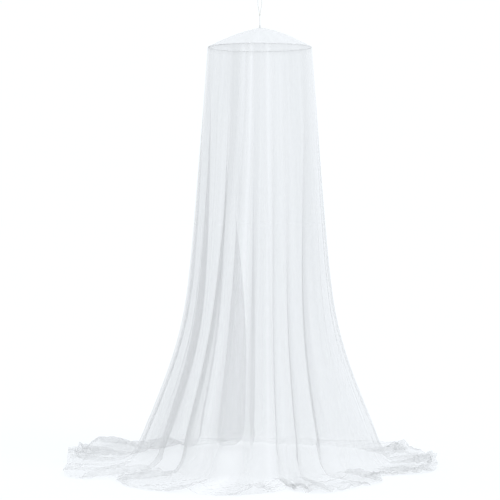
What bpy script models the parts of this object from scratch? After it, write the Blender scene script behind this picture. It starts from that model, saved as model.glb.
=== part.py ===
"""Mosquito net canopy: a cone roof and a long flared wall of net, hung from one hoop and one cord.

Metres, +Z up. The origin is where the ceiling hook bears, inside the top of the cord's loop,
so the floor that the hem lies on is HOOK_TO_FLOOR below it. Azimuths are degrees from the front
(-Y), positive to the right (+X).
"""

import math
from typing import NamedTuple

import bmesh
import bpy
from mathutils import Vector, noise

# Driving dimensions
HOOK_TO_FLOOR = 2.500
HOOP_HEIGHT = 2.210
HOOP_RADIUS = 0.270
HOOP_WIRE = 0.005
ROOF_RISE = 0.102
CORD = 0.003
CLOTH = 0.0012
GAP = 0.0003

NET_COLOUR = (0.80, 0.83, 0.87)
WIRE_COLOUR = (0.62, 0.64, 0.66)
CORD_COLOUR = (0.85, 0.85, 0.84)

# Cord: a single stem up from the roof's neck, a knot, and the loop for the ceiling hook
KNOT_WIDTH = 0.009
KNOT_LENGTH = 0.013
KNOT_DROP = 0.117
STEM_STEPS = 6
LOOP_STEP = 0.0075

# Hoop and the tunnel hem that holds it
HOOP_STEPS = 44
WIRE_STEPS = 8
TUNNEL_RADIUS = HOOP_WIRE / 2 + GAP + CLOTH / 2
TUNNEL_TURN = 265.0
SEAM_GAP = 0.0015
SEAM_LAP = 0.003
COLLAR = 0.03

# Roof
ROOF_BULGE = 0.008
ROOF_BULGE_RIGHT = 0.006
ROOF_FULLNESS = 0.8
ROOF_CREASES = 12
ROOF_CREASE = 0.0025
NECK_RADIUS = CORD / 2 + GAP + CLOTH / 2
NECK_HEIGHT = 0.014
SHOULDER_RADIUS = 0.0065
ROOF_ROWS = 6
TUNNEL_ROWS = 7

# Wall: the smooth line of the drape, from the hoop to the floor
UPPER_SLOPE = 0.077
LOWER_SLOPE = 0.353
KNEE_HEIGHT = 0.694
KNEE_SOFTNESS = 0.142
FRONT_FLARE = 0.55
FOOT_HEIGHT = 0.11
FOOT_RUN = 0.05
WALL_SHARE = 0.60
FOOT_SHARE = 0.74
WALL_ROWS = 13
FOOT_ROWS = 3
FLOOR_ROWS = 6
NORMAL_STEP = 0.004

# Wall: its creases. Those that lap in the real cloth stay open in the solid, so pinch is limited.
FULL_FOLDS = 1.8
SOLID_PINCH = 0.85
LYING_PINCH = 0.5
STEPS_ACROSS = (-0.5, -0.25, 0.0, 0.25, 0.5)
NARROWEST_STEP = 1.6
WIDEST_STEP = 7.5

# Wall: ridges beside the creases and ruffles where it lies on the floor
RIDGE = 0.6
RIDGE_END = 1.2
HEM_RIDGE = 0.35
RUFFLE = 0.016
HEM_RUFFLE = 0.4
RUFFLES_PER_METRE = 6.5


class Crease(NamedTuple):
    """A pleat where the wall is drawn inward, between two flatter panels."""

    foot: float  # azimuth near the floor, degrees
    head: float  # degrees that it stands further right at the hoop
    width: float  # degrees from panel to panel
    depth: float  # millimetres that it is drawn in near the floor
    start: float  # metres under the hoop where it begins
    pinch: float  # 0 for an open wave, 1 for closed sides, more for sides that lap


CREASES = (
    Crease(-175, 2, 13, 45, 0.25, 2.2),
    Crease(-162, 9, 18, 60, 0.80, 4.4),
    Crease(-143, -2, 12, 32, 0.15, 1.5),
    Crease(-128, -3, 13, 26, 0.25, 0.6),
    Crease(-113, -2, 12, 22, 0.45, 0.5),
    Crease(-98, 0, 11, 20, 0.30, 0.4),
    Crease(-83, -2, 9, 22, 0.30, 0.6),
    Crease(-63, -5, 13, 70, 0.04, 1.0),
    Crease(-45, 15, 14, 62, 0.20, 1.6),
    Crease(-26, 12, 10, 10, 0.70, 0.2),
    Crease(-9, 4, 9, 9, 0.40, 0.3),
    Crease(9.5, 3, 6, 20, 0.35, 1.3),
    Crease(21, 7, 8, 28, 0.10, 1.3),
    Crease(35, 17, 13, 50, 0.15, 1.3),
    Crease(58, 8, 9, 14, 0.60, 0.5),
    Crease(72, 4, 10, 12, 0.30, 0.3),
    Crease(88, 1, 11, 14, 0.20, 0.3),
    Crease(103, -1, 12, 14, 0.45, 0.3),
    Crease(119, -2, 11, 16, 0.25, 0.4),
    Crease(136, -2, 13, 16, 0.50, 0.4),
    Crease(153, 0, 12, 20, 0.30, 0.6),
    Crease(170, 2, 6, 18, 0.40, 1.2),
)


class Reach(NamedTuple):
    """Where the hem lies at one azimuth, and how the cloth inside it humps up."""

    azimuth: float  # degrees
    radius: float  # metres from the canopy's axis
    hump: float  # millimetres


HEM = (
    Reach(-180, 0.86, 0),
    Reach(-150, 0.91, 4),
    Reach(-121, 1.06, 45),
    Reach(-100, 1.03, 35),
    Reach(-83, 1.02, 5),
    Reach(-64, 1.08, 0),
    Reach(-50, 0.93, 0),
    Reach(-35, 1.01, 0),
    Reach(-12, 1.02, 4),
    Reach(8, 0.92, 0),
    Reach(18, 0.99, 0),
    Reach(35, 0.91, 6),
    Reach(53, 0.84, 0),
    Reach(73, 0.95, 0),
    Reach(95, 0.95, 20),
    Reach(114, 0.93, 42),
    Reach(131, 1.00, 25),
    Reach(155, 0.88, 4),
)


class Bend(NamedTuple):
    """A point on the middle line of the cord's loop."""

    side: float  # metres to the right
    drop: float  # metres under the hook's bearing point


LOOP = (
    Bend(-0.0017, 0.1102),
    Bend(-0.0052, 0.0920),
    Bend(-0.0092, 0.0680),
    Bend(-0.0104, 0.0400),
    Bend(-0.0096, 0.0120),
    Bend(-0.0056, 0.0004),
    Bend(0.0, -CORD / 2),
    Bend(0.0056, 0.0004),
    Bend(0.0096, 0.0120),
    Bend(0.0104, 0.0400),
    Bend(0.0092, 0.0680),
    Bend(0.0052, 0.0920),
    Bend(0.0017, 0.1102),
)


def smooth(share):
    """0 to 1 with level ends."""
    share = min(max(share, 0.0), 1.0)
    return share * share * (3 - 2 * share)


def mixed(first, second, share):
    return first + (second - first) * share


def lean_at(turn):
    """How far a place of the cloth stands to the right at the hoop, evenly between the creases."""
    turn = (turn + 180) % 360 - 180
    rows = (CREASES[-1]._replace(foot=CREASES[-1].foot - 360), *CREASES)
    rows += (CREASES[0]._replace(foot=CREASES[0].foot + 360),)
    after = next(row for row in rows if turn <= row.foot)
    before = rows[rows.index(after) - 1]
    return mixed(before.head, after.head, (turn - before.foot) / (after.foot - before.foot))


def creased(turn, under_hoop):
    """Inward pull, sideways pull in degrees and ridge height of the creases at a place of the cloth."""
    inward, sideways, ridge, valley = 0.0, 0.0, 0.0, 1.0
    for crease in CREASES:
        across = ((turn - crease.foot + 180) % 360 - 180) / crease.width
        if abs(across) > RIDGE_END:
            continue
        share = min(max((under_hoop - crease.start) / (FULL_FOLDS - crease.start), 0.0), 1.0)
        grown = share * (2 - share)
        depth = crease.depth / 1000 * grown
        if abs(across) < 0.5:
            trough = 0.5 + 0.5 * math.cos(2 * math.pi * across)
            drawn = min(crease.pinch, SOLID_PINCH) * grown * crease.width
            inward += depth * trough
            sideways -= drawn * math.sin(2 * math.pi * across) / (2 * math.pi)
            valley *= 1 - trough
            ridge = max(ridge, depth)
        else:
            ridge = max(ridge, depth * smooth((RIDGE_END - abs(across)) / (RIDGE_END - 0.5)))
    return inward, sideways, ridge * valley


def hem_at(azimuth):
    """The hem at an azimuth, smoothly between the table's rows."""
    azimuth = (azimuth + 180) % 360 - 180
    rows = (*HEM, HEM[0]._replace(azimuth=HEM[0].azimuth + 360))
    after = next(row for row in rows if azimuth <= row.azimuth and row is not rows[0])
    before = rows[rows.index(after) - 1]
    share = smooth((azimuth - before.azimuth) / (after.azimuth - before.azimuth))
    return Reach(azimuth, mixed(before.radius, after.radius, share), mixed(before.hump, after.hump, share))


def wall_radius(azimuth, height):
    """Distance of the wall's crests from the axis: a long cone that opens below the knee."""
    upper = UPPER_SLOPE * (HOOP_HEIGHT - height)
    knee = KNEE_SOFTNESS * math.log1p(math.exp((KNEE_HEIGHT - height) / KNEE_SOFTNESS))
    flare = mixed(FRONT_FLARE, 1.0, math.sin(math.radians(azimuth)) ** 2)
    top = HOOP_RADIUS + TUNNEL_RADIUS + SEAM_GAP + CLOTH
    return top + upper + LOWER_SLOPE * flare * knee


def drape_line(azimuth, along):
    """Smooth drape before its folds, for along from 0 at the hoop to 1 at the hem: radius and height."""
    if along < WALL_SHARE:
        height = mixed(HOOP_HEIGHT + SEAM_LAP, FOOT_HEIGHT, along / WALL_SHARE)
        return wall_radius(azimuth, height), height
    rest = CLOTH / 2
    foot = wall_radius(azimuth, FOOT_HEIGHT)
    bend = wall_radius(azimuth, 0.0)
    landing = bend + FOOT_RUN
    if along < FOOT_SHARE:
        t = (along - WALL_SHARE) / (FOOT_SHARE - WALL_SHARE)
        radius = mixed(mixed(foot, bend, t), mixed(bend, landing, t), t)
        return radius, rest + (FOOT_HEIGHT - rest) * (1 - t) ** 2
    t = (along - FOOT_SHARE) / (1 - FOOT_SHARE)
    return mixed(landing, hem_at(azimuth).radius, t), rest


def outward(azimuth, along):
    """Unit normal of the smooth drape in its radial plane: outward on the wall, upward on the floor."""
    near = drape_line(azimuth, max(along - NORMAL_STEP, 0.0))
    far = drape_line(azimuth, min(along + NORMAL_STEP, 1.0))
    normal = Vector((near[1] - far[1], far[0] - near[0]))
    return normal.normalized()


def ruffle(x, y):
    """Soft uneven lift of the cloth that lies on the floor, 0 to 1."""
    place = Vector((x, y, 0.0)) * RUFFLES_PER_METRE
    return 0.5 + 0.5 * noise.noise(place)


def wall_point(turn, along):
    """Place of the wall's cloth, for turn in degrees round it and along from 0 at the hoop to 1 at the hem."""
    lying = smooth((along - WALL_SHARE) / (FOOT_SHARE - WALL_SHARE))
    inward, sideways, ridge = creased(turn, HOOP_HEIGHT - drape_line(turn, along)[1])
    azimuth = turn + sideways * mixed(1.0, LYING_PINCH, lying)
    radius, height = drape_line(azimuth, along)
    to_hem = smooth((along - FOOT_SHARE) / (1 - FOOT_SHARE))
    angle = math.radians(azimuth)
    lifted = RIDGE * ridge * mixed(1.0, HEM_RIDGE, to_hem)
    flutter = RUFFLE * mixed(1.0, HEM_RUFFLE, to_hem)
    lifted += flutter * ruffle(radius * math.sin(angle), radius * math.cos(angle))
    lifted += hem_at(azimuth).hump / 1000 * math.sin(math.pi * to_hem)
    normal = outward(azimuth, along)
    away = mixed(-inward, lifted, lying)
    radius += normal.x * away
    height += normal.y * away
    angle = math.radians(azimuth + lean_at(turn) * (1 - smooth(along / WALL_SHARE)))
    return Vector((radius * math.sin(angle), -radius * math.cos(angle), height - HOOK_TO_FLOOR))


def roof_line(azimuth, inward):
    """Roof's smooth cone for inward from 0 at the hoop to 1 at the neck: radius and height over hoop."""
    right = 0.5 + 0.5 * math.sin(math.radians(azimuth))
    bulge = (ROOF_BULGE + ROOF_BULGE_RIGHT * right) * math.sin(math.pi * inward) ** ROOF_FULLNESS
    radius = mixed(HOOP_RADIUS, SHOULDER_RADIUS, inward)
    return radius, mixed(TUNNEL_RADIUS, ROOF_RISE, inward) + bulge


def roof_point(turn, row):
    """Place of the roof's cloth: rows of neck, cone, then the tunnel hem round the hoop."""
    azimuth = 360 * turn / HOOP_STEPS
    angle = math.radians(azimuth)
    if row == 0:
        radius, height = NECK_RADIUS, ROOF_RISE + NECK_HEIGHT
    elif row <= ROOF_ROWS:
        inward = 1 - (row - 1) / ROOF_ROWS
        radius, height = roof_line(azimuth, inward)
        crease = ROOF_CREASE * math.sin(math.pi * inward)
        height += crease * math.sin(ROOF_CREASES * angle + 2 * math.sin(2 * angle))
    else:
        bend = math.radians(TUNNEL_TURN * (row - ROOF_ROWS - 1) / TUNNEL_ROWS)
        radius = HOOP_RADIUS + TUNNEL_RADIUS * math.sin(bend)
        height = TUNNEL_RADIUS * math.cos(bend)
    top = HOOP_HEIGHT - HOOK_TO_FLOOR
    return Vector((radius * math.sin(angle), -radius * math.cos(angle), top + height))


def paint(shape, name, colour, roughness):
    material = bpy.data.materials.new(name)
    material.use_nodes = True
    shader = material.node_tree.nodes["Principled BSDF"]
    shader.inputs["Base Color"].default_value = (*colour, 1.0)
    shader.inputs["Roughness"].default_value = roughness
    shape.data.materials.append(material)


def place_in(collection, shape):
    for other in shape.users_collection:
        other.objects.unlink(shape)
    collection.objects.link(shape)


def round_cloth(name, columns, rows, point):
    """A sheet that closes round the axis, from a grid whose points go to point(column, row)."""
    cloth = bmesh.new()
    bmesh.ops.create_grid(cloth, x_segments=columns, y_segments=rows, size=0.5)
    for vertex in cloth.verts:
        column = round((vertex.co.x + 0.5) * columns)
        row = round((0.5 - vertex.co.y) * rows)
        vertex.co = point(column % columns, row)
    bmesh.ops.remove_doubles(cloth, verts=cloth.verts, dist=GAP / 10)
    mesh = bpy.data.meshes.new(name)
    cloth.to_mesh(mesh)
    cloth.free()
    mesh.shade_smooth()
    shape = bpy.data.objects.new(name, mesh)
    thick = shape.modifiers.new("thickness", "SOLIDIFY")
    thick.thickness = CLOTH
    thick.offset = 0.0
    return shape


def wall_rows():
    """Shares from hoop to hem at which the wall has a row of points."""
    collar = WALL_SHARE * COLLAR / (HOOP_HEIGHT - FOOT_HEIGHT)
    wall = [0.0] + [mixed(collar, WALL_SHARE, i / WALL_ROWS) for i in range(WALL_ROWS)]
    foot = [mixed(WALL_SHARE, FOOT_SHARE, i / FOOT_ROWS) for i in range(FOOT_ROWS)]
    floor = [mixed(FOOT_SHARE, 1.0, i / FLOOR_ROWS) for i in range(FLOOR_ROWS + 1)]
    return wall + foot + floor


def wall_columns():
    """Degrees round the wall at which it has a column of points: five across each crease, more between."""
    stops = sorted(crease.foot + crease.width * across for crease in CREASES for across in STEPS_ACROSS)
    columns = []
    for start, end in zip(stops, [*stops[1:], stops[0] + 360]):
        if end - start < NARROWEST_STEP:
            continue
        at_hoop = end + lean_at(end) - start - lean_at(start)
        steps = math.ceil(max(end - start, at_hoop) / WIDEST_STEP)
        columns += [mixed(start, end, i / steps) for i in range(steps)]
    return columns


def make_wall(canopy):
    rows = wall_rows()
    columns = wall_columns()

    def point(column, row):
        return wall_point(columns[column], rows[row])

    wall = round_cloth("net_wall", len(columns), len(rows) - 1, point)
    place_in(canopy, wall)
    paint(wall, "white net", NET_COLOUR, 0.85)


def make_roof(canopy):
    roof = round_cloth("net_roof", HOOP_STEPS, ROOF_ROWS + TUNNEL_ROWS + 1, roof_point)
    place_in(canopy, roof)
    paint(roof, "white roof net", NET_COLOUR, 0.85)


def make_hoop(canopy):
    bpy.ops.mesh.primitive_torus_add(
        major_segments=HOOP_STEPS,
        minor_segments=WIRE_STEPS,
        major_radius=HOOP_RADIUS,
        minor_radius=HOOP_WIRE / 2,
        location=(0, 0, HOOP_HEIGHT - HOOK_TO_FLOOR),
    )
    hoop = bpy.context.object
    hoop.name = "hoop"
    hoop.data.shade_smooth()
    place_in(canopy, hoop)
    paint(hoop, "painted steel wire", WIRE_COLOUR, 0.4)


def make_tube(canopy, name, centres):
    """The cord along a row of points, with flat ends."""
    line = bpy.data.curves.new(name, "CURVE")
    line.dimensions = "3D"
    line.bevel_depth = CORD / 2
    line.bevel_resolution = 2
    line.use_fill_caps = True
    spline = line.splines.new("POLY")
    spline.points.add(len(centres) - 1)
    for point, centre in zip(spline.points, centres):
        point.co = (*centre, 1.0)
    tube = bpy.data.objects.new(name, line)
    place_in(canopy, tube)
    paint(tube, "white cord " + name, CORD_COLOUR, 0.8)


def smooth_route(bends, step):
    """Points about one step apart on a smooth line through the bends."""
    places = [Vector((bend.side, 0.0, -bend.drop)) for bend in bends]
    places = [2 * places[0] - places[1], *places, 2 * places[-1] - places[-2]]
    points = []
    for before, start, end, after in zip(places, places[1:], places[2:], places[3:]):
        count = max(round((end - start).length / step), 1)
        for t in (i / count for i in range(count)):
            leave = (end - before) / 2 * t * (1 - t) ** 2
            arrive = (after - start) / 2 * t**2 * (1 - t)
            points.append(start.lerp(end, smooth(t)) + leave - arrive)
    return [*points, places[-2]]


def make_cord(canopy):
    knot_height = -KNOT_DROP
    neck_top = HOOP_HEIGHT + ROOF_RISE - HOOK_TO_FLOOR
    stem_top = knot_height - KNOT_LENGTH / 2 - GAP
    shares = [i / STEM_STEPS for i in range(STEM_STEPS + 1)]
    make_tube(canopy, "cord_stem", [(0, 0, mixed(neck_top, stem_top, share)) for share in shares])
    bpy.ops.mesh.primitive_uv_sphere_add(segments=12, ring_count=8, radius=0.5, location=(0, 0, knot_height))
    knot = bpy.context.object
    knot.name = "cord_knot"
    knot.scale = (KNOT_WIDTH, KNOT_WIDTH, KNOT_LENGTH)
    knot.data.shade_smooth()
    place_in(canopy, knot)
    paint(knot, "white knot", CORD_COLOUR, 0.8)
    make_tube(canopy, "cord_loop", smooth_route(LOOP, LOOP_STEP))


def main():
    for old in list(bpy.data.objects):
        bpy.data.objects.remove(old)
    canopy = bpy.data.collections.new("mosquito net canopy")
    bpy.context.scene.collection.children.link(canopy)
    make_wall(canopy)
    make_roof(canopy)
    make_hoop(canopy)
    make_cord(canopy)


main()
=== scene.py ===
"""Mosquito net canopy: sheer wall and roof of net on one hoop, hung from a knotted cord."""

import math
from typing import NamedTuple

import bmesh
import bpy
from mathutils import Matrix, Vector, noise


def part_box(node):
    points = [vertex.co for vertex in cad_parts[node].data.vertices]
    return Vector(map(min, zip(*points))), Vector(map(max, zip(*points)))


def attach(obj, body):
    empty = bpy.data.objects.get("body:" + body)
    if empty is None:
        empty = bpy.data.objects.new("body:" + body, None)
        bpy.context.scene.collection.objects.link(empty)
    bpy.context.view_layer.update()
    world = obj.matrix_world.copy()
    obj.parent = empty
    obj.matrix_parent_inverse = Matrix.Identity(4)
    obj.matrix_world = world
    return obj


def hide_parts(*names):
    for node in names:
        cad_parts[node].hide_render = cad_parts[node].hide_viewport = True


bl_info = {
    "name": "Mosquito Net Canopy",
    "version": (1, 0, 0),
    "blender": (4, 5, 0),
    "location": "3D View > Sidebar > Canopy",
    "description": "Builds a sheer net canopy that hangs from a hoop and pools on the floor",
    "category": "Object",
}

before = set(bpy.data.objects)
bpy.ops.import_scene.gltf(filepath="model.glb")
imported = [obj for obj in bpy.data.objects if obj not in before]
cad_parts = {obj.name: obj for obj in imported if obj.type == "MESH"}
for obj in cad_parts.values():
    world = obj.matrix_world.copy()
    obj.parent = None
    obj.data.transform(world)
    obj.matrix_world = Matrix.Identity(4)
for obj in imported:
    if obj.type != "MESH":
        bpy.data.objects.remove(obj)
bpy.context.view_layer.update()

# Sizes that the frame fixes
HOOP_LOW, HOOP_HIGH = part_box("hoop")
STEM_LOW, STEM_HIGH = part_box("cord_stem")
KNOT_LOW, KNOT_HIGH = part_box("cord_knot")
HOOP_WIRE = HOOP_HIGH[2] - HOOP_LOW[2]
HOOP_RADIUS = (HOOP_HIGH[0] - HOOP_LOW[0] - HOOP_WIRE) / 2
HOOP_Z = (HOOP_HIGH[2] + HOOP_LOW[2]) / 2
CORD = STEM_HIGH[0] - STEM_LOW[0]
KNOT_YARN = 0.9 * CORD

# Sizes shared with the part's source
HOOK_TO_FLOOR = 2.500
HOOP_HEIGHT = HOOK_TO_FLOOR + HOOP_Z
CLOTH = 0.0012
GAP = 0.0003
TUNNEL_RADIUS = HOOP_WIRE / 2 + GAP + CLOTH / 2
TUNNEL_TURN = 265.0
SEAM_GAP = 0.0015
SEAM_LAP = 0.003
ROOF_RISE = 0.102
ROOF_BULGE = 0.008
ROOF_BULGE_RIGHT = 0.006
ROOF_CREASES = 12
ROOF_CREASE = 0.0025
NECK_RADIUS = CORD / 2 + GAP + CLOTH / 2
NECK_HEIGHT = 0.014
SHOULDER_RADIUS = 0.0065
UPPER_SLOPE = 0.077
LOWER_SLOPE = 0.353
KNEE_HEIGHT = 0.694
KNEE_SOFTNESS = 0.142
FRONT_FLARE = 0.55
FOOT_HEIGHT = 0.11
FOOT_RUN = 0.05
FULL_FOLDS = 1.8
WALL_SHARE = 0.60
FOOT_SHARE = 0.74
RIDGE = 0.6
HEM_RIDGE = 0.35
RUFFLE = 0.016
HEM_RUFFLE = 0.4
RUFFLES_PER_METRE = 6.5

# The bead that joins the hoop's ends
WELD_PROUD = 0.0003
WELD_LENGTH = 0.009

# Where a crease's hollow ends, and the ridge beside it, in widths from its middle
PANEL_EDGE = 0.5
RIDGE_END = 1.2

# Share of a crease's sideways pull that stays on the floor
FLOOR_PINCH = 0.5

# Metres under the hoop where the small folds begin, and over which they reach their depth
FOLDS_BEGIN = 0.03
FOLDS_GROW = 0.5

# Density of the gathers at the hoop and at the foot, as a share of the table's
GATHERS_HIGH = 0.85
GATHERS_LOW = 1.05

# Layers of net that the gathered heading at the hoop and the turned hem add
HEADING = 0.8
HEM_TURN = 0.4

# Share of the cloth's depth where the gathers begin to open out in front; behind they do so at the foot
OPENS_FRONT = 0.5

# Creases with more pinch than this open out of their gathers, and by how much those thin
WIDE_LAP = 2.0
LAP_SPREAD = 0.75

# Layers of net in the roof's tunnel hem, in front and behind, fitted to the photograph's tones
# Fewer layers in front paint the rim's front lighter and more behind paint its back darker: painted light
# and painted shade
TUNNEL_FRONT_PAINTED_LIGHT = 0.4
TUNNEL_BACK_PAINTED_SHADE = 1.4

# Unevenness of the roof's net, and the layers that its gathered neck adds and over how many rows
ROOF_UNEVEN = 0.4
ROOF_WAVES = 5.0
NECK_GATHERS = 1.5
NECK_ROWS = 2

# Width and depth in metres that the knit of the wall and of the roof is laid out on
WALL_KNIT = (5.2, 2.65)
ROOF_KNIT = (1.7, 0.32)

# Height under which the cloth simulation settles the wall, and how firmly it holds the upper part
SKIRT_TOP = 0.30
HOLD_FROM = 0.12
MOST_HOLD = 0.9
HOLD_EASE = 1.5

# Spare length of the cloth that lies down, and the share of the skirt's rows over which it grows
MOST_SPARE = 0.42
SPARE_FROM = 0.25
SPARE_GROWS = 0.65

# The cloth starts this far over its place, unevenly, so that it can buckle
START_LIFT = 0.0015
START_WAVES = 60

# The simulation's length, its light and limp net, and the floor that it settles on
SETTLE_FRAMES = 26
NET_FEEL = {
    "quality": 6,
    "mass": 0.02,
    "air_damping": 1.0,
    "shear_stiffness": 4.0,
    "bending_stiffness": 0.3,
}
NET_DISTANCE = 0.0015
GROUND_SIZE = 6.0
GROUND_DROP = 0.0005
GROUND_THICKNESS = 0.001
GROUND_FRICTION = 10.0

# Share of a slide past the hem's line that the settled cloth keeps
SLIDE_KEPT = 0.3

# Weights of the two nearest and the two next columns in a cubic curve through four
NEAR_COLUMNS = 0.5625
FAR_COLUMNS = 0.0625

# Share of the light that one layer of net stops, on the wall and on the roof
COVER = 0.21
ROOF_COVER = 0.18

# The knit: holes of 1.6 mm at the width it is laid out on, so narrower at the hoop and up to 2.4 mm
# wide at the hem. How uneven they are, how far from a hole's edge the yarn ends and the open middle
# begins, and the share of the mean cover that yarn and middle have
HOLES_PER_METRE = 620.0
HOLES_UNEVEN = 0.45
YARN_ENDS = 0.05
HOLE_OPENS = 0.3
YARN_COVER = 1.35
HOLE_COVER = 0.8

# Net that turns edge-on counts as no narrower than this share of its width
NARROWEST = 0.8

# Where the camera stands and aims, with its heights over the floor, and its lens in millimetres
CAMERA_PLACE = (0.0, -9.2, 1.47 - HOOK_TO_FLOOR)
CAMERA_AIM = (-0.052, 0.0, 1.134 - HOOK_TO_FLOOR)
CAMERA_LENS = 124.4

# Strengths of the two soft lights, the way they shine, and the angle that they spread over
KEY_STRENGTH = 0.9
KEY_WAY = (-0.80, 0.42, -0.42)
TOP_STRENGTH = 1.6
TOP_WAY = (0.0, 0.12, -1.0)
LIGHT_SPREAD = 40.0

# The studio's slightly cool white, its strength all round, and the floor's own glow
STUDIO_WHITE = "#F7FBFF"
STUDIO_STRENGTH = 1.075
FLOOR_GLOW = 0.556
FLOOR_SIZE = 120.0
FLOOR_DROP = 0.001

# How many layers of net light may pass through
NET_BOUNCES = 48


class Crease(NamedTuple):
    """A pleat where the wall is drawn inward, between two flatter panels."""

    foot: float  # azimuth near the floor, degrees
    head: float  # degrees that it stands further right at the hoop
    width: float  # degrees from panel to panel
    depth: float  # millimetres that it is drawn in near the floor
    start: float  # metres under the hoop where it begins
    pinch: float  # 0 for an open wave, 1 for closed sides, more for sides that cross and lap


CREASES = (
    Crease(-175, 2, 13, 45, 0.25, 2.2),
    Crease(-162, 9, 18, 60, 0.80, 4.4),
    Crease(-143, -2, 12, 32, 0.15, 1.5),
    Crease(-128, -3, 13, 26, 0.25, 0.6),
    Crease(-113, -2, 12, 22, 0.45, 0.5),
    Crease(-98, 0, 11, 20, 0.30, 0.4),
    Crease(-83, -2, 9, 22, 0.30, 0.6),
    Crease(-63, -5, 13, 70, 0.04, 1.0),
    Crease(-45, 15, 14, 62, 0.20, 1.6),
    Crease(-26, 12, 10, 10, 0.70, 0.2),
    Crease(-9, 4, 9, 9, 0.40, 0.3),
    Crease(9.5, 3, 6, 20, 0.35, 1.3),
    Crease(21, 7, 8, 28, 0.10, 1.3),
    Crease(35, 17, 13, 50, 0.15, 1.3),
    Crease(58, 8, 9, 14, 0.60, 0.5),
    Crease(72, 4, 10, 12, 0.30, 0.3),
    Crease(88, 1, 11, 14, 0.20, 0.3),
    Crease(103, -1, 12, 14, 0.45, 0.3),
    Crease(119, -2, 11, 16, 0.25, 0.4),
    Crease(136, -2, 13, 16, 0.50, 0.4),
    Crease(153, 0, 12, 20, 0.30, 0.6),
    Crease(170, 2, 6, 18, 0.40, 1.2),
)


class Reach(NamedTuple):
    """Where the hem lies at one azimuth, and how much cloth lies there."""

    azimuth: float  # degrees
    radius: float  # metres from the canopy's axis
    hump: float  # millimetres that the cloth inside it humps up
    spare: float  # share by which the cloth is longer than the ground that it lies on


HEM = (
    Reach(-180, 0.86, 0, 0.03),
    Reach(-150, 0.91, 4, 0.08),
    Reach(-121, 1.06, 45, 0.34),
    Reach(-100, 1.03, 35, 0.34),
    Reach(-83, 1.02, 5, 0.34),
    Reach(-64, 1.08, 0, 0.34),
    Reach(-50, 0.93, 0, 0.30),
    Reach(-35, 1.01, 0, 0.36),
    Reach(-12, 1.02, 4, 0.36),
    Reach(8, 0.92, 0, 0.30),
    Reach(18, 0.99, 0, 0.31),
    Reach(35, 0.91, 6, 0.34),
    Reach(53, 0.84, 0, 0.32),
    Reach(73, 0.95, 0, 0.34),
    Reach(95, 0.95, 20, 0.32),
    Reach(114, 0.93, 42, 0.32),
    Reach(131, 1.00, 25, 0.26),
    Reach(155, 0.88, 4, 0.06),
)


class GatherAndPaintedShade(NamedTuple):
    """How densely the finest gathers stand, which are too narrow to model, with painted shade of folds laid
    in as extra layers of net.

    Their layers are fitted to the photograph's tones, so some are under one.
    """

    foot: float  # azimuth near the floor, degrees
    layers: float  # layers of net that they lay over each other on the wall
    # The lying layers also paint the shade of folds that lie on the floor, as extra net
    lying: float  # layers of net on the floor


GATHERS_AND_PAINTED_SHADE = (
    GatherAndPaintedShade(-180, 0.9, 0.2),
    GatherAndPaintedShade(-172, 0.9, 0.2),
    GatherAndPaintedShade(-162, 1.8, 0.4),
    GatherAndPaintedShade(-152, 1.1, 0.3),
    GatherAndPaintedShade(-135, 1.1, 1.4),
    GatherAndPaintedShade(-120, 1.1, 2.0),
    GatherAndPaintedShade(-105, 0.9, 1.2),
    GatherAndPaintedShade(-96, 0.9, 0.6),
    GatherAndPaintedShade(-85, 0.9, 0.6),
    GatherAndPaintedShade(-74, 0.8, 0.5),
    GatherAndPaintedShade(-64, 1.8, 0.7),
    GatherAndPaintedShade(-55, 1.4, 0.4),
    GatherAndPaintedShade(-50, 1.1, 0.4),
    GatherAndPaintedShade(-43, 2.0, 1.1),
    GatherAndPaintedShade(-37, 2.1, 1.2),
    GatherAndPaintedShade(-31, 0.9, 0.8),
    GatherAndPaintedShade(-25, 2.0, 1.1),
    GatherAndPaintedShade(-16, 0.7, 0.2),
    GatherAndPaintedShade(-8, 2.3, 1.2),
    GatherAndPaintedShade(0, 1.9, 0.8),
    GatherAndPaintedShade(5, 0.75, 0.2),
    GatherAndPaintedShade(10, 1.6, 1.3),
    GatherAndPaintedShade(16, 1.3, 1.2),
    GatherAndPaintedShade(24, 1.8, 1.1),
    GatherAndPaintedShade(30, 1.4, 0.7),
    GatherAndPaintedShade(37, 2.0, 0.7),
    GatherAndPaintedShade(44, 1.8, 1.2),
    GatherAndPaintedShade(52, 1.3, 0.7),
    GatherAndPaintedShade(62, 1.1, 1.1),
    GatherAndPaintedShade(75, 0.6, 1.0),
    GatherAndPaintedShade(90, 0.6, 0.6),
    GatherAndPaintedShade(110, 0.8, 1.0),
    GatherAndPaintedShade(140, 0.9, 0.3),
    GatherAndPaintedShade(165, 0.8, 0.2),
)


class Streak(NamedTuple):
    """Soft noise that runs down the cloth."""

    waves: float  # how finely it changes round the canopy
    start: float  # where it begins, so that no two are alike
    drift: float  # how much it changes down the cloth
    share: float  # how much it counts


# Coarse and fine streaks of the small folds and of the gathers
FOLD_STREAKS = (Streak(9.0, 0.0, 0.7, 1.0), Streak(21.0, 5.0, 1.1, 0.6))
GATHER_STREAKS = (Streak(11.0, 3.0, 1.5, 0.35), Streak(30.0, 8.0, 3.0, 0.15))


class Bend(NamedTuple):
    """A point on the middle line of the cord's loop."""

    side: float  # metres to the right
    drop: float  # metres under the hook's bearing point


LOOP = (
    Bend(-0.0017, 0.1102),
    Bend(-0.0052, 0.0920),
    Bend(-0.0092, 0.0680),
    Bend(-0.0104, 0.0400),
    Bend(-0.0096, 0.0120),
    Bend(-0.0056, 0.0004),
    Bend(0.0, -CORD / 2),
    Bend(0.0056, 0.0004),
    Bend(0.0096, 0.0120),
    Bend(0.0104, 0.0400),
    Bend(0.0092, 0.0680),
    Bend(0.0052, 0.0920),
    Bend(0.0017, 0.1102),
)


# Settings that a user would change


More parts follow.
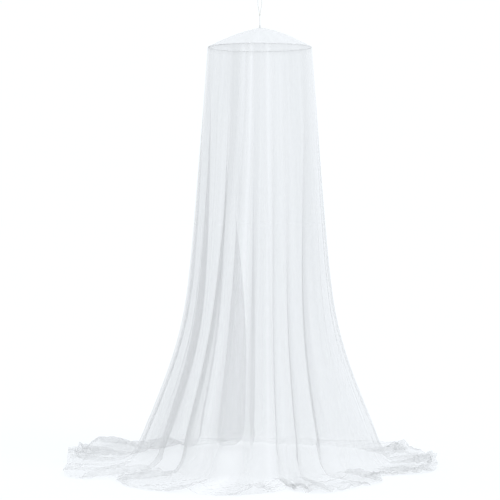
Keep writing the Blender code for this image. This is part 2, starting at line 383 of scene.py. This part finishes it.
class CanopySizes(bpy.types.PropertyGroup):
    """How finely the cloth is modelled and how it falls."""

    columns: bpy.props.IntProperty(
        name="Columns", description="Columns of cloth round the wall", default=640, min=60
    )
    wall_rows: bpy.props.IntProperty(
        name="Wall rows", description="Rows of cloth from the hoop to the foot", default=72, min=10
    )
    foot_rows: bpy.props.IntProperty(
        name="Foot rows", description="Rows of cloth in the bend at the floor", default=8, min=3
    )
    floor_rows: bpy.props.IntProperty(
        name="Floor rows", description="Rows of cloth that lie on the floor", default=28, min=6
    )
    fine_fold: bpy.props.FloatProperty(
        name="Fine folds",
        description="Depth of the small uneven folds between the main ones",
        default=0.0035,
        subtype="DISTANCE",
        unit="LENGTH",
    )


class CanopyColours(bpy.types.PropertyGroup):
    """Colours of the finishes."""

    net: bpy.props.StringProperty(name="Net", description="Colour of the net's yarn", default="#CCCCCC")
    wire: bpy.props.StringProperty(name="Wire", description="Colour of the hoop's paint", default="#E8E8E8")
    cord: bpy.props.StringProperty(name="Cord", description="Colour of the cord", default="#D6D4CE")
    floor: bpy.props.StringProperty(name="Floor", description="Colour of the floor", default="#969696")


# Small helpers


def clamped(share):
    """The share, kept between 0 and 1."""
    return min(max(share, 0.0), 1.0)


def smooth(share):
    """0 to 1 with level ends."""
    share = clamped(share)
    return share * share * (3 - 2 * share)


def mixed(first, second, share):
    return first + (second - first) * share


def signed(turn):
    """The same direction, from -180 to 180 degrees."""
    return (turn + 180) % 360 - 180


def beside(rows, turn):
    """The rows of a table before and after a direction, and the share of the way between them."""
    after = next(row for row in rows[1:] if turn <= row[0])
    before = rows[rows.index(after) - 1]
    return before, after, (turn - before[0]) / (after[0] - before[0])


def streaky(streaks, angle, down):
    """Noise that closes round the axis, at an angle in radians and a place down the cloth."""
    ring = Vector((math.sin(angle), math.cos(angle), 0.0))
    total = 0.0
    for streak in streaks:
        shift = Vector((0.0, 0.0, streak.start + down * streak.drift))
        total += streak.share * noise.noise(ring * streak.waves + shift)
    return total


def linear(code):
    """Linear red, green and blue of an sRGB hex colour."""
    parts = [int(code[i : i + 2], 16) / 255 for i in (1, 3, 5)]
    return tuple(p / 12.92 if p <= 0.04045 else ((p + 0.055) / 1.055) ** 2.4 for p in parts)


def tidy_piece(shape):
    """Puts a finished piece on the object's one body."""
    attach(shape, "root")


def clear_selection():
    for shape in bpy.context.selected_objects:
        shape.select_set(False)


# The wall's form, from the same tables as its solid


def lean_at(turn):
    """How far a place of the cloth stands to the right at the hoop, evenly between the creases."""
    rows = sorted(CREASES)
    rows = (rows[-1]._replace(foot=rows[-1].foot - 360), *rows, rows[0]._replace(foot=rows[0].foot + 360))
    before, after, share = beside(rows, signed(turn))
    return mixed(before.head, after.head, share)


def across_crease(crease, turn):
    """How many widths of a crease a place of the cloth stands from its middle."""
    return signed(turn - crease.foot) / crease.width


def grown_crease(crease, under_hoop):
    """How far a crease has opened under the hoop, 0 to 1."""
    share = clamped((under_hoop - crease.start) / (FULL_FOLDS - crease.start))
    return share * (2 - share)


def creased(turn, under_hoop):
    """Inward pull, sideways pull in degrees and ridge height of the creases at a place of the cloth."""
    inward, sideways, ridge, valley = 0.0, 0.0, 0.0, 1.0
    for crease in CREASES:
        across = across_crease(crease, turn)
        if abs(across) > RIDGE_END:
            continue
        grown = grown_crease(crease, under_hoop)
        depth = crease.depth / 1000 * grown
        if abs(across) < PANEL_EDGE:
            trough = 0.5 + 0.5 * math.cos(2 * math.pi * across)
            inward += depth * trough
            sideways -= crease.pinch * grown * crease.width * math.sin(2 * math.pi * across) / (2 * math.pi)
            valley *= 1 - trough
            ridge = max(ridge, depth)
        else:
            ridge = max(ridge, depth * smooth((RIDGE_END - abs(across)) / (RIDGE_END - PANEL_EDGE)))
    return inward, sideways, ridge * valley


def hem_at(azimuth):
    """The hem at an azimuth, smoothly between the table's rows."""
    azimuth = signed(azimuth)
    before, after, share = beside((*HEM, HEM[0]._replace(azimuth=HEM[0].azimuth + 360)), azimuth)
    share = smooth(share)
    return Reach(azimuth, *(mixed(first, second, share) for first, second in zip(before[1:], after[1:])))


def wall_radius(azimuth, height):
    """Distance of the wall's crests from the axis: a long cone that opens below the knee."""
    upper = UPPER_SLOPE * (HOOP_HEIGHT - height)
    knee = KNEE_SOFTNESS * math.log1p(math.exp((KNEE_HEIGHT - height) / KNEE_SOFTNESS))
    flare = mixed(FRONT_FLARE, 1.0, math.sin(math.radians(azimuth)) ** 2)
    top = HOOP_RADIUS + TUNNEL_RADIUS + SEAM_GAP + CLOTH
    return top + upper + LOWER_SLOPE * flare * knee


def drape_line(azimuth, along):
    """Smooth drape before its folds, for along from 0 at the hoop to 1 at the hem: radius and height."""
    if along < WALL_SHARE:
        height = mixed(HOOP_HEIGHT + SEAM_LAP, FOOT_HEIGHT, along / WALL_SHARE)
        return wall_radius(azimuth, height), height
    rest = CLOTH / 2
    foot = wall_radius(azimuth, FOOT_HEIGHT)
    bend = wall_radius(azimuth, 0.0)
    landing = bend + FOOT_RUN
    if along < FOOT_SHARE:
        t = (along - WALL_SHARE) / (FOOT_SHARE - WALL_SHARE)
        radius = mixed(mixed(foot, bend, t), mixed(bend, landing, t), t)
        return radius, rest + (FOOT_HEIGHT - rest) * (1 - t) ** 2
    t = (along - FOOT_SHARE) / (1 - FOOT_SHARE)
    return mixed(landing, hem_at(azimuth).radius, t), rest


def outward(azimuth, along):
    """Unit normal of the smooth drape in its radial plane: outward on the wall, upward on the floor."""
    step = 0.004
    near = drape_line(azimuth, max(along - step, 0.0))
    far = drape_line(azimuth, min(along + step, 1.0))
    normal = Vector((near[1] - far[1], far[0] - near[0]))
    return normal.normalized()


def ruffle(x, y):
    """Soft uneven lift of the cloth that lies on the floor, 0 to 1."""
    place = Vector((x, y, 0.0)) * RUFFLES_PER_METRE
    return 0.5 + 0.5 * noise.noise(place)


def fine_folds(azimuth, height):
    """Small uneven folds that run down the wall, within about 1 either way."""
    return streaky(FOLD_STREAKS, math.radians(azimuth), height)


def lapped(turn, along):
    """How far a place of the wall has opened out of its gathers into a wide lap, 0 for none."""
    under_hoop = HOOP_HEIGHT - drape_line(turn, along)[1]
    opened = 0.0
    for crease in CREASES:
        across = across_crease(crease, turn)
        if abs(across) < PANEL_EDGE and crease.pinch > WIDE_LAP:
            grown = grown_crease(crease, under_hoop)
            opened += (crease.pinch - WIDE_LAP) * grown * math.cos(math.pi * across) ** 2
    return opened


def gathers_and_painted_shade(turn, along):
    """Layers of net that the finest gathers lay over each other at a place of the wall, in soft streaks,
    with painted shade of folds as extra layers, most where the cloth lies on the floor.
    """
    turn = signed(turn)
    before, after, share = beside((*GATHERS_AND_PAINTED_SHADE, GATHERS_AND_PAINTED_SHADE[0]._replace(foot=GATHERS_AND_PAINTED_SHADE[0].foot + 360)), turn)
    share = smooth(share)
    layers, on_floor = (mixed(first, second, share) for first, second in zip(before[1:], after[1:]))
    uneven = 1 + streaky(GATHER_STREAKS, math.radians(turn), along)
    opens = mixed(OPENS_FRONT, WALL_SHARE, 0.5 - 0.5 * math.cos(math.radians(turn)))
    low = smooth((along - opens) / (FOOT_SHARE - WALL_SHARE))
    sewn = HEADING if along == 0 else HEM_TURN if along == 1 else 0
    layers *= mixed(GATHERS_HIGH, GATHERS_LOW, min(along / WALL_SHARE, 1.0))
    layers /= 1 + LAP_SPREAD * lapped(turn, along)
    return mixed(layers, on_floor, low) * uneven + sewn


def wall_point(turn, along, fine):
    """Place of the wall's cloth: turn in degrees round it, along from 0 at the hoop to 1 at the hem."""
    lying = smooth((along - WALL_SHARE) / (FOOT_SHARE - WALL_SHARE))
    radius, height = drape_line(turn, along)
    under_hoop = HOOP_HEIGHT - height
    inward, sideways, ridge = creased(turn, under_hoop)
    azimuth = turn + sideways * mixed(1.0, FLOOR_PINCH, lying)
    radius, height = drape_line(azimuth, along)
    folded = fine * fine_folds(turn, height) * smooth((under_hoop - FOLDS_BEGIN) / FOLDS_GROW) - inward
    to_hem = smooth((along - FOOT_SHARE) / (1 - FOOT_SHARE))
    angle = math.radians(azimuth)
    lifted = RIDGE * ridge * mixed(1.0, HEM_RIDGE, to_hem)
    flutter = RUFFLE * mixed(1.0, HEM_RUFFLE, to_hem)
    lifted += flutter * ruffle(radius * math.sin(angle), radius * math.cos(angle))
    lifted += hem_at(azimuth).hump / 1000 * math.sin(math.pi * to_hem)
    normal = outward(azimuth, along)
    away = mixed(folded, lifted, lying)
    radius += normal.x * away
    height += normal.y * away
    angle = math.radians(azimuth + lean_at(turn) * (1 - smooth(along / WALL_SHARE)))
    return Vector((radius * math.sin(angle), -radius * math.cos(angle), height - HOOK_TO_FLOOR))


def round_sheet(name, columns, rows, point, layers, knit):
    """A sheet of cloth that closes round the axis.

    The UV map "cut" lays its knit out over a width and depth in metres, and the attribute
    "gathers" says how many layers of net its finest gathers count as, with painted shade as extra layers and
    painted light as fewer.
    """
    cloth = bmesh.new()
    flat = cloth.loops.layers.uv.new("cut")
    grid = [[cloth.verts.new(point(column, row)) for column in range(columns)] for row in range(rows + 1)]
    for row in range(rows):
        for column in range(columns):
            right = (column + 1) % columns
            face = cloth.faces.new(
                (grid[row][column], grid[row + 1][column], grid[row + 1][right], grid[row][right])
            )
            face.smooth = True
            corners = ((column, row), (column, row + 1), (column + 1, row + 1), (column + 1, row))
            for loop, (across, down) in zip(face.loops, corners):
                loop[flat].uv = (knit[0] * across / columns, knit[1] * (1 - down / rows))
    mesh = bpy.data.meshes.new(name)
    cloth.to_mesh(mesh)
    cloth.free()
    # The gathers attribute holds real gathers plus painted shade as extra layers and painted light as fewer
    gathers = mesh.attributes.new("gathers", "FLOAT", "POINT")
    for row in range(rows + 1):
        for column in range(columns):
            gathers.data[row * columns + column].value = layers(column, row)
    shape = bpy.data.objects.new(name, mesh)
    bpy.context.scene.collection.objects.link(shape)
    return shape


def round_grid(name, columns, rows, places):
    """A plain sheet through the places, row after row, that closes round the axis."""
    faces = []
    for row in range(rows - 1):
        for column in range(columns):
            above, below, right = row * columns, (row + 1) * columns, (column + 1) % columns
            faces.append((above + column, below + column, below + right, above + right))
    mesh = bpy.data.meshes.new(name)
    mesh.from_pydata(places, [], faces)
    shape = bpy.data.objects.new(name, mesh)
    bpy.context.scene.collection.objects.link(shape)
    return shape


def settle_skirt(places, columns, rows):
    """Lets the lower wall settle on the floor with the cloth simulation and gives its new places.

    The cloth that lies down is given its spare length, so it buckles into ruffles, which may pass
    through each other. The rows above the foot are held, and less so the lower they are.
    """
    floor_z = -HOOK_TO_FLOOR
    lifts = [START_LIFT + START_LIFT * noise.noise(place * START_WAVES) for place in places]
    start = [place + Vector((0, 0, lift)) for place, lift in zip(places, lifts)]
    start[: 2 * columns] = places[: 2 * columns]
    skirt = round_grid("skirt", columns, rows, start)
    held = skirt.vertex_groups.new(name="held")
    fitted = skirt.vertex_groups.new(name="fitted")
    for index, place in enumerate(start):
        row = index // columns
        rise = clamped((place.z - floor_z - HOLD_FROM) / (SKIRT_TOP - HOLD_FROM))
        hold = 1.0 if row < 2 else MOST_HOLD * rise**HOLD_EASE
        spare = hem_at(math.degrees(math.atan2(place.x, -place.y))).spare / MOST_SPARE
        lain = clamped((row / (rows - 1) - SPARE_FROM) / SPARE_GROWS)
        if hold > 0:
            held.add([index], hold, "REPLACE")
        fitted.add([index], 1 - lain * spare, "REPLACE")
    clear_selection()
    bpy.ops.mesh.primitive_plane_add(size=GROUND_SIZE, location=(0, 0, floor_z - GROUND_DROP))
    ground = bpy.context.object
    ground.modifiers.new("ground", "COLLISION")
    ground.collision.thickness_outer = GROUND_THICKNESS
    ground.collision.cloth_friction = GROUND_FRICTION
    cloth = skirt.modifiers.new("cloth", "CLOTH")
    for feel, value in NET_FEEL.items():
        setattr(cloth.settings, feel, value)
    cloth.settings.vertex_group_mass = "held"
    cloth.settings.vertex_group_shrink = "fitted"
    cloth.settings.shrink_min = -MOST_SPARE
    cloth.collision_settings.distance_min = NET_DISTANCE
    cloth.point_cache.frame_end = SETTLE_FRAMES
    for frame_number in range(1, SETTLE_FRAMES + 1):
        bpy.context.scene.frame_set(frame_number)
    settled = skirt.evaluated_get(bpy.context.evaluated_depsgraph_get()).to_mesh()
    moved = [kept_in(vertex.co) - place for vertex, place in zip(settled.vertices, places)]
    for helper in (skirt, ground):
        bpy.data.objects.remove(helper)
    return moved


def kept_in(place):
    """A place of the settled cloth, drawn back where it has slid out past the hem's line."""
    line = hem_at(math.degrees(math.atan2(place.x, -place.y))).radius
    radius = math.hypot(place.x, place.y)
    share = mixed(line, radius, SLIDE_KEPT) / radius if radius > line else 1.0
    return Vector((place.x * share, place.y * share, max(place.z, CLOTH / 2 - HOOK_TO_FLOOR)))


def ruffle_skirt(wall, columns, rows, first_row):
    """Settles every other column of the wall from first_row down and carries the others along."""
    vertices = wall.data.vertices
    half = columns // 2
    lower = range(first_row, rows)
    places = [vertices[row * columns + 2 * i].co.copy() for row in lower for i in range(half)]
    moved = settle_skirt(places, half, len(lower))
    for row in lower:
        shifts = moved[(row - first_row) * half : (row - first_row + 1) * half]
        for i, shift in enumerate(shifts):
            vertices[row * columns + 2 * i].co += shift
            near, far = shifts[(i + 1) % half], shifts[i - 1] + shifts[(i + 2) % half]
            vertices[row * columns + 2 * i + 1].co += (shift + near) * NEAR_COLUMNS - far * FAR_COLUMNS


# Materials


def add_node(material, kind, settings=None, **links):
    """Adds a node, sets its sockets and properties, and links the sockets that links name."""
    tree = material.node_tree
    node = tree.nodes.new(kind)
    for name, value in (settings or {}).items():
        if isinstance(name, int) or name in node.inputs:
            node.inputs[name].default_value = value
        else:
            setattr(node, name, value)
    for name, source in links.items():
        socket = int(name[1:]) if name[1:].isdigit() else name.replace("_", " ")
        tree.links.new(source, node.inputs[socket])
    return node


def new_material(name):
    material = bpy.data.materials.new(name)
    material.use_nodes = True
    material.node_tree.nodes.clear()
    return material


def polyester_net(name, colour, cover):
    """Warp-knitted polyester mosquito net: fine white yarn round many-sided holes under 2 mm.

    The eye sees no holes from a few steps off, only a veil that gets denser where the cloth turns
    edge-on and where folds lie over each other. Close up, the yarn stands out round each hole.
    """
    material = new_material(name)
    facing = add_node(material, "ShaderNodeLayerWeight", {"Blend": 0.5})
    turned = add_node(
        material, "ShaderNodeMath", {"operation": "SUBTRACT", 0: 1.0}, s1=facing.outputs["Facing"]
    )
    kept = add_node(material, "ShaderNodeMath", {"operation": "MAXIMUM", 1: NARROWEST}, s0=turned.outputs[0])
    slant = add_node(material, "ShaderNodeMath", {"operation": "DIVIDE", 0: 1.0}, s1=kept.outputs[0])
    cut = add_node(material, "ShaderNodeUVMap", {"uv_map": "cut"})
    holes = add_node(
        material,
        "ShaderNodeTexVoronoi",
        {
            "voronoi_dimensions": "2D",
            "feature": "DISTANCE_TO_EDGE",
            "Scale": HOLES_PER_METRE,
            "Randomness": HOLES_UNEVEN,
        },
        Vector=cut.outputs["UV"],
    )
    knit = add_node(
        material,
        "ShaderNodeMapRange",
        {
            "From Min": YARN_ENDS,
            "From Max": HOLE_OPENS,
            "To Min": cover * YARN_COVER,
            "To Max": cover * HOLE_COVER,
        },
        Value=holes.outputs["Distance"],
    )
    # Layers of net from the gathers, with painted shade as extra layers and painted light as fewer
    gathers = add_node(material, "ShaderNodeAttribute", {"attribute_name": "gathers"})
    layers = add_node(
        material, "ShaderNodeMath", {"operation": "MULTIPLY"}, s0=slant.outputs[0], s1=gathers.outputs["Fac"]
    )
    opened = add_node(material, "ShaderNodeMath", {"operation": "SUBTRACT", 0: 1.0}, s1=knit.outputs[0])
    through = add_node(
        material, "ShaderNodeMath", {"operation": "POWER"}, s0=opened.outputs[0], s1=layers.outputs[0]
    )
    yarn = add_node(
        material,
        "ShaderNodeBsdfPrincipled",
        {"Base Color": (*linear(colour), 1.0), "Roughness": 0.8, "Specular IOR Level": 0.2},
    )
    glow = add_node(material, "ShaderNodeBsdfTranslucent", {"Color": (*linear(colour), 1.0)})
    lit = add_node(material, "ShaderNodeMixShader", {0: 0.35}, s1=yarn.outputs[0], s2=glow.outputs[0])
    clear = add_node(material, "ShaderNodeBsdfTransparent")
    veil = add_node(
        material, "ShaderNodeMixShader", s0=through.outputs[0], s1=lit.outputs[0], s2=clear.outputs[0]
    )
    add_node(material, "ShaderNodeOutputMaterial", Surface=veil.outputs[0])
    return material


def painted_wire(colour):
    """Steel wire with a thin satin coat of white paint."""
    material = new_material("painted steel wire")
    place = add_node(material, "ShaderNodeTexCoord")
    orange_peel = add_node(
        material, "ShaderNodeTexNoise", {"Scale": 400.0, "Detail": 2.0}, Vector=place.outputs["Object"]
    )
    bump = add_node(
        material,
        "ShaderNodeBump",
        {"Strength": 0.15, "Distance": 0.0003},
        Height=orange_peel.outputs["Fac"],
    )
    paint = add_node(
        material,
        "ShaderNodeBsdfPrincipled",
        {"Base Color": (*linear(colour), 1.0), "Roughness": 0.4},
        Normal=bump.outputs["Normal"],
    )
    add_node(material, "ShaderNodeOutputMaterial", Surface=paint.outputs[0])
    return material


def twisted_cord(colour):
    """Thin twisted polyester cord: slanting strands a millimetre apart."""
    material = new_material("twisted polyester cord")
    place = add_node(material, "ShaderNodeTexCoord")
    strands = add_node(
        material,
        "ShaderNodeTexWave",
        {"Scale": 90.0, "Distortion": 0.6, "bands_direction": "DIAGONAL"},
        Vector=place.outputs["Object"],
    )
    bump = add_node(
        material, "ShaderNodeBump", {"Strength": 0.5, "Distance": 0.0004}, Height=strands.outputs["Fac"]
    )
    yarn = add_node(
        material,
        "ShaderNodeBsdfPrincipled",
        {"Base Color": (*linear(colour), 1.0), "Roughness": 0.8},
        Normal=bump.outputs["Normal"],
    )
    add_node(material, "ShaderNodeOutputMaterial", Surface=yarn.outputs[0])
    return material


def white_floor(colour):
    """Matt white studio floor, lit from below as well so that it stays as white as the backdrop."""
    material = new_material("matt white floor")
    place = add_node(material, "ShaderNodeTexCoord")
    scuffs = add_node(material, "ShaderNodeTexNoise", {"Scale": 2.0}, Vector=place.outputs["Object"])
    rough = add_node(
        material, "ShaderNodeMapRange", {"To Min": 0.85, "To Max": 0.95}, Value=scuffs.outputs["Fac"]
    )
    matt = add_node(
        material,
        "ShaderNodeBsdfPrincipled",
        {
            "Base Color": (*linear(colour), 1.0),
            "Specular IOR Level": 0.0,
            "Emission Color": (*linear(STUDIO_WHITE), 1.0),
            "Emission Strength": FLOOR_GLOW,
        },
        Roughness=rough.outputs[0],
    )
    add_node(material, "ShaderNodeOutputMaterial", Surface=matt.outputs[0])
    return material


# Operators


class CANOPY_OT_camera(bpy.types.Operator):
    """Place the camera where the photograph was taken from"""

    bl_idname = "canopy.camera"
    bl_label = "Add Camera"

    def execute(self, context):
        lens = bpy.data.cameras.new("camera")
        lens.lens = CAMERA_LENS
        camera = bpy.data.objects.new("camera", lens)
        camera.location = CAMERA_PLACE
        line_of_sight = Vector(CAMERA_AIM) - Vector(CAMERA_PLACE)
        camera.rotation_euler = line_of_sight.to_track_quat("-Z", "Y").to_euler()
        context.scene.collection.objects.link(camera)
        context.scene.camera = camera
        return {"FINISHED"}


def smooth_route(bends, step):
    """Points about one step apart on a smooth line through the bends."""
    places = [Vector((bend.side, 0.0, -bend.drop)) for bend in bends]
    places = [2 * places[0] - places[1], *places, 2 * places[-1] - places[-2]]
    points = []
    for before, start, end, after in zip(places, places[1:], places[2:], places[3:]):
        count = max(round((end - start).length / step), 1)
        for t in (i / count for i in range(count)):
            leave = (end - before) / 2 * t * (1 - t) ** 2
            arrive = (after - start) / 2 * t**2 * (1 - t)
            points.append(start.lerp(end, smooth(t)) + leave - arrive)
    return [*points, places[-2]]


def overhand_knot(name, steps):
    """One overhand knot of the cord, pulled tight into the knot's box."""
    middle = (KNOT_LOW + KNOT_HIGH) / 2
    room = Matrix.Diagonal((KNOT_HIGH - KNOT_LOW - Vector((KNOT_YARN, KNOT_YARN, KNOT_YARN))) / 2)
    line = bpy.data.curves.new(name, "CURVE")
    line.dimensions = "3D"
    line.bevel_depth = KNOT_YARN / 2
    line.bevel_resolution = 3
    spline = line.splines.new("POLY")
    spline.points.add(steps - 1)
    for step, point in enumerate(spline.points):
        turn = 2 * math.pi * step / steps
        reach = (2 + math.cos(3 * turn)) / 3
        side = Vector((reach * math.cos(2 * turn), reach * math.sin(2 * turn), math.sin(3 * turn)))
        point.co = (*(middle + room @ side), 1.0)
    spline.use_cyclic_u = True
    spline.use_smooth = True
    knot = bpy.data.objects.new(name, line)
    bpy.context.scene.collection.objects.link(knot)
    return knot


class CANOPY_OT_cord(bpy.types.Operator):
    """Tie the cord: a stem from the roof's neck, a knot, and a loop for the hook"""

    bl_idname = "canopy.cord"
    bl_label = "Add Cord"

    def execute(self, context):
        material = twisted_cord(context.scene.canopy_colours.cord)
        stem = [Vector((0, 0, mixed(STEM_LOW[2], KNOT_LOW[2], i / 8))) for i in range(9)]
        points = stem + smooth_route(LOOP, 0.005)
        line = bpy.data.curves.new("cord", "CURVE")
        line.dimensions = "3D"
        line.bevel_depth = CORD / 2
        line.bevel_resolution = 3
        line.use_fill_caps = True
        spline = line.splines.new("POLY")
        spline.points.add(len(points) - 1)
        for point, place in zip(spline.points, points):
            point.co = (*place, 1.0)
        spline.use_smooth = True
        cord = bpy.data.objects.new("cord", line)
        context.scene.collection.objects.link(cord)
        cord.data.materials.append(material)
        tidy_piece(cord)
        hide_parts("cord_stem", "cord_loop")
        length = sum((b - a).length for a, b in zip(points, points[1:]))
        knot = overhand_knot("overhand_knot", 96)
        knot.data.materials.append(material)
        tidy_piece(knot)
        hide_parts("cord_knot")
        tuple(points[0])
        return {"FINISHED"}


class CANOPY_OT_wall(bpy.types.Operator):
    """Hang the long wall of net from the hoop"""

    bl_idname = "canopy.wall"
    bl_label = "Add Wall"

    def execute(self, context):
        sizes = context.scene.canopy_sizes
        floor_span = [mixed(FOOT_SHARE, 1.0, i / sizes.floor_rows) for i in range(sizes.floor_rows + 1)]
        foot_span = [mixed(WALL_SHARE, FOOT_SHARE, i / sizes.foot_rows) for i in range(sizes.foot_rows)]
        wall_span = [WALL_SHARE * i / sizes.wall_rows for i in range(sizes.wall_rows)]
        rows = wall_span + foot_span + floor_span

        def point(column, row):
            return wall_point(360 * column / sizes.columns, rows[row], sizes.fine_fold)

        def layers(column, row):
            return gathers_and_painted_shade(360 * column / sizes.columns, rows[row])

        wall = round_sheet("sheer_wall", sizes.columns, len(rows) - 1, point, layers, WALL_KNIT)
        first_row = next(i for i, along in enumerate(rows) if drape_line(0, along)[1] < SKIRT_TOP)
        ruffle_skirt(wall, sizes.columns, len(rows), first_row)
        net = polyester_net("polyester mosquito net", context.scene.canopy_colours.net, COVER)
        wall.data.materials.append(net)
        tidy_piece(wall)
        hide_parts("net_wall")
        return {"FINISHED"}


def roof_point(column, row, columns, cone_rows, tunnel_rows):
    """Place of the roof's cloth: the neck, the cone, then the tunnel hem round the hoop."""
    angle = 2 * math.pi * column / columns
    if row == 0:
        radius, height = NECK_RADIUS, ROOF_RISE + NECK_HEIGHT
    elif row <= cone_rows:
        inward = 1 - (row - 1) / cone_rows
        right = 0.5 + 0.5 * math.sin(angle)
        bulge = (ROOF_BULGE + ROOF_BULGE_RIGHT * right) * math.sin(math.pi * inward) ** 0.8
        radius = mixed(HOOP_RADIUS, SHOULDER_RADIUS, inward)
        height = mixed(TUNNEL_RADIUS, ROOF_RISE, inward) + bulge
        crease = ROOF_CREASE * math.sin(math.pi * inward)
        height += crease * math.sin(ROOF_CREASES * angle + 2 * math.sin(2 * angle))
    else:
        bend = math.radians(TUNNEL_TURN * (row - cone_rows - 1) / tunnel_rows)
        radius = HOOP_RADIUS + TUNNEL_RADIUS * math.sin(bend)
        height = TUNNEL_RADIUS * math.cos(bend)
    return Vector((radius * math.sin(angle), -radius * math.cos(angle), HOOP_Z + height))


class CANOPY_OT_roof(bpy.types.Operator):
    """Stretch the roof over the hoop and turn its edge round the wire"""

    bl_idname = "canopy.roof"
    bl_label = "Add Roof"

    def execute(self, context):
        columns, cone_rows, tunnel_rows = 192, 40, 12

        def point(column, row):
            return roof_point(column, row, columns, cone_rows, tunnel_rows)

        def layers(column, row):
            angle = 2 * math.pi * column / columns
            # Painted light and shade: thinner net on the tunnel's front, denser behind
            if row > cone_rows:
                return mixed(TUNNEL_BACK_PAINTED_SHADE, TUNNEL_FRONT_PAINTED_LIGHT, 0.5 + 0.5 * math.cos(angle))
            uneven = streaky((Streak(ROOF_WAVES, 0.0, 0.0, ROOF_UNEVEN),), angle, 0.0)
            return 1 + uneven + NECK_GATHERS * math.exp(-row / NECK_ROWS)

        roof = round_sheet("sheer_roof", columns, cone_rows + tunnel_rows + 1, point, layers, ROOF_KNIT)
        net = polyester_net("polyester roof net", context.scene.canopy_colours.net, ROOF_COVER)
        roof.data.materials.append(net)
        tidy_piece(roof)
        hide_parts("net_roof")
        return {"FINISHED"}


class CANOPY_OT_hoop(bpy.types.Operator):
    """Bend the hoop from wire and weld its ends together"""

    bl_idname = "canopy.hoop"
    bl_label = "Add Hoop"

    def execute(self, context):
        clear_selection()
        bpy.ops.mesh.primitive_torus_add(
            location=(0.0, 0.0, HOOP_Z),
            major_segments=192,
            minor_segments=16,
            major_radius=HOOP_RADIUS,
            minor_radius=HOOP_WIRE / 2 - WELD_PROUD,
        )
        hoop = context.object
        hoop.name = "wire_hoop"
        clear_selection()
        bpy.ops.mesh.primitive_uv_sphere_add(
            segments=16, ring_count=10, radius=HOOP_WIRE / 2, location=(0.0, HOOP_RADIUS, HOOP_Z)
        )
        weld = context.object
        weld.scale = (WELD_LENGTH / HOOP_WIRE, 1.0, 1.0)
        hoop.select_set(True)
        context.view_layer.objects.active = hoop
        bpy.ops.object.join()
        bpy.ops.object.transform_apply(location=True, rotation=True, scale=True)
        bpy.ops.object.shade_smooth()
        hoop.data.materials.append(painted_wire(context.scene.canopy_colours.wire))
        tidy_piece(hoop)
        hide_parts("hoop")
        return {"FINISHED"}


class CANOPY_OT_stage(bpy.types.Operator):
    """Lay the white floor and set the soft studio light"""

    bl_idname = "canopy.stage"
    bl_label = "Add Stage"

    def execute(self, context):
        clear_selection()
        bpy.ops.mesh.primitive_plane_add(size=FLOOR_SIZE, location=(0.0, 0.0, -HOOK_TO_FLOOR - FLOOR_DROP))
        floor = context.object
        floor.name = "floor"
        floor.data.materials.append(white_floor(context.scene.canopy_colours.floor))
        world = bpy.data.worlds.new("white studio")
        world.use_nodes = True
        white = world.node_tree.nodes["Background"]
        white.inputs["Color"].default_value = (*linear(STUDIO_WHITE), 1.0)
        white.inputs["Strength"].default_value = STUDIO_STRENGTH
        context.scene.world = world
        for name, strength, way in (
            ("key light", KEY_STRENGTH, KEY_WAY),
            ("top light", TOP_STRENGTH, TOP_WAY),
        ):
            lamp = bpy.data.lights.new(name, "SUN")
            lamp.energy = strength
            lamp.color = linear(STUDIO_WHITE)
            lamp.angle = math.radians(LIGHT_SPREAD)
            light = bpy.data.objects.new(name, lamp)
            light.rotation_euler = Vector(way).to_track_quat("-Z", "Y").to_euler()
            context.scene.collection.objects.link(light)
        context.scene.view_settings.view_transform = "Standard"
        context.scene.cycles.transparent_max_bounces = NET_BOUNCES
        return {"FINISHED"}


class CANOPY_PT_panel(bpy.types.Panel):
    """Lists the canopy's settings and steps"""

    bl_label = "Mosquito Net Canopy"
    bl_idname = "CANOPY_PT_panel"
    bl_space_type = "VIEW_3D"
    bl_region_type = "UI"
    bl_category = "Canopy"

    def draw(self, context):
        for group in (context.scene.canopy_sizes, context.scene.canopy_colours):
            for name in group.bl_rna.properties.keys():
                if name not in ("name", "rna_type"):
                    self.layout.prop(group, name)
        for step in STEPS:
            self.layout.operator(step.bl_idname)


STEPS = (
    CANOPY_OT_camera,
    CANOPY_OT_cord,
    CANOPY_OT_wall,
    CANOPY_OT_roof,
    CANOPY_OT_hoop,
    CANOPY_OT_stage,
)
CLASSES = (CanopySizes, CanopyColours, *STEPS, CANOPY_PT_panel)


def register():
    for kind in CLASSES:
        bpy.utils.register_class(kind)
    bpy.types.Scene.canopy_sizes = bpy.props.PointerProperty(type=CanopySizes)
    bpy.types.Scene.canopy_colours = bpy.props.PointerProperty(type=CanopyColours)


def unregister():
    del bpy.types.Scene.canopy_sizes
    del bpy.types.Scene.canopy_colours
    for kind in reversed(CLASSES):
        bpy.utils.unregister_class(kind)


def main():
    register()
    for step in STEPS:
        group, name = step.bl_idname.split(".")
        getattr(getattr(bpy.ops, group), name)()


if __name__ == "__main__":
    main()
